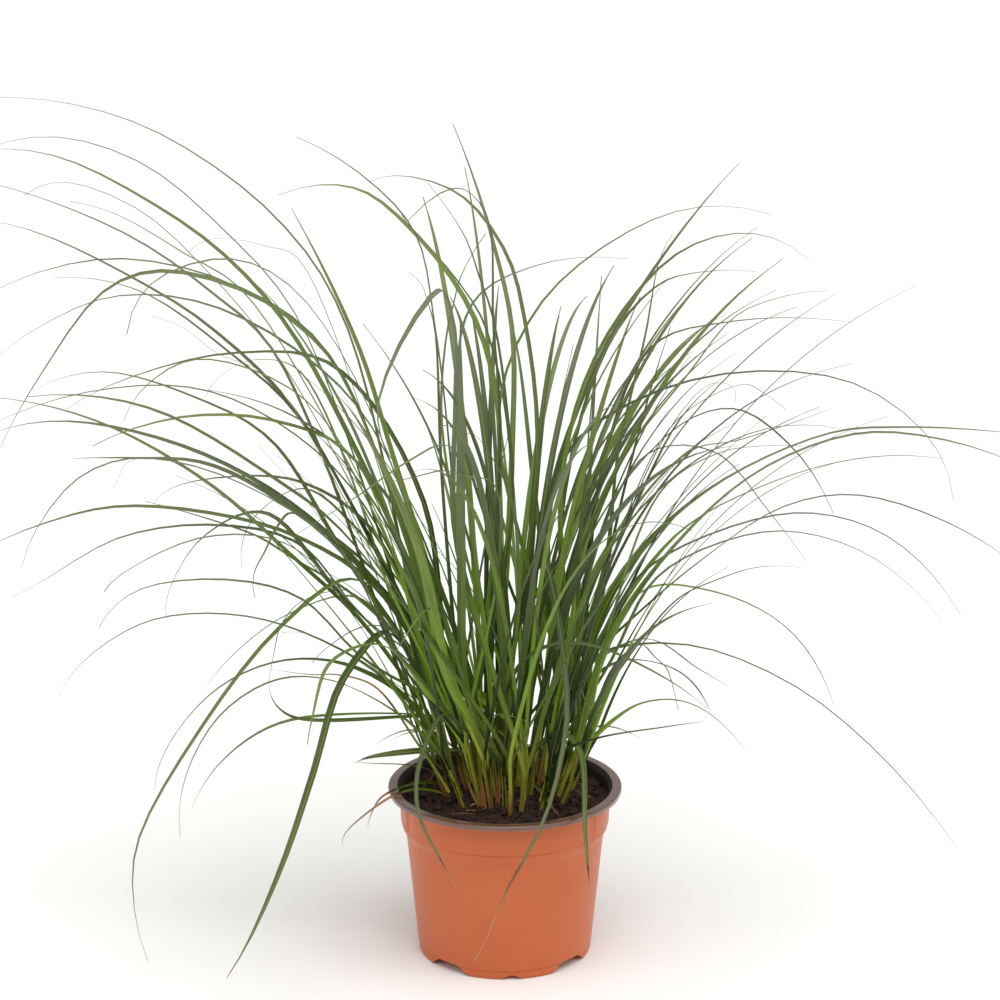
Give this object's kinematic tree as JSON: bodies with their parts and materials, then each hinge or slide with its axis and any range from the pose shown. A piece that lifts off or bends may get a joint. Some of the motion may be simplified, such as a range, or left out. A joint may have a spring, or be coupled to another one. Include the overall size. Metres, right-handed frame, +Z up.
{
  "type": "potted ornamental grass",
  "caption": "Clump of arching ornamental grass leaves growing in dark peat in a tapered plastic nursery pot with a flat lip.",
  "frame": {"origin": "on the pot's axis, in the plane that the pot stands on", "axes": "+Z up along the pot's axis, -Y towards the plant's front as pictured, +X to the right of someone who looks at the front"},
  "size_m": [0.8659, 0.6567, 0.6882],
  "materials": {
    "pot": "satin",
    "soil": "matte",
    "leaves": "satin"
  },
  "bodies": {
    "root": {"pot": "pot", "soil": "soil", "shoot_01": "leaves", "shoot_02": "leaves", "shoot_03": "leaves", "shoot_04": "leaves", "shoot_05": "leaves", "shoot_06": "leaves", "shoot_07": "leaves", "shoot_08": "leaves", "shoot_09": "leaves", "shoot_10": "leaves", "shoot_11": "leaves", "shoot_12": "leaves", "shoot_13": "leaves", "shoot_14": "leaves", "shoot_15": "leaves", "shoot_16": "leaves", "shoot_17": "leaves", "shoot_18": "leaves", "shoot_19": "leaves", "shoot_20": "leaves", "shoot_21": "leaves", "shoot_22": "leaves", "shoot_23": "leaves", "shoot_24": "leaves", "shoot_25": "leaves", "shoot_26": "leaves", "shoot_27": "leaves", "shoot_28": "leaves", "shoot_29": "leaves", "shoot_30": "leaves", "shoot_31": "leaves", "shoot_32": "leaves", "shoot_33": "leaves", "shoot_34": "leaves", "shoot_35": "leaves", "shoot_36": "leaves", "shoot_37": "leaves", "shoot_38": "leaves", "shoot_39": "leaves", "shoot_40": "leaves"}
  },
  "joints": []
}
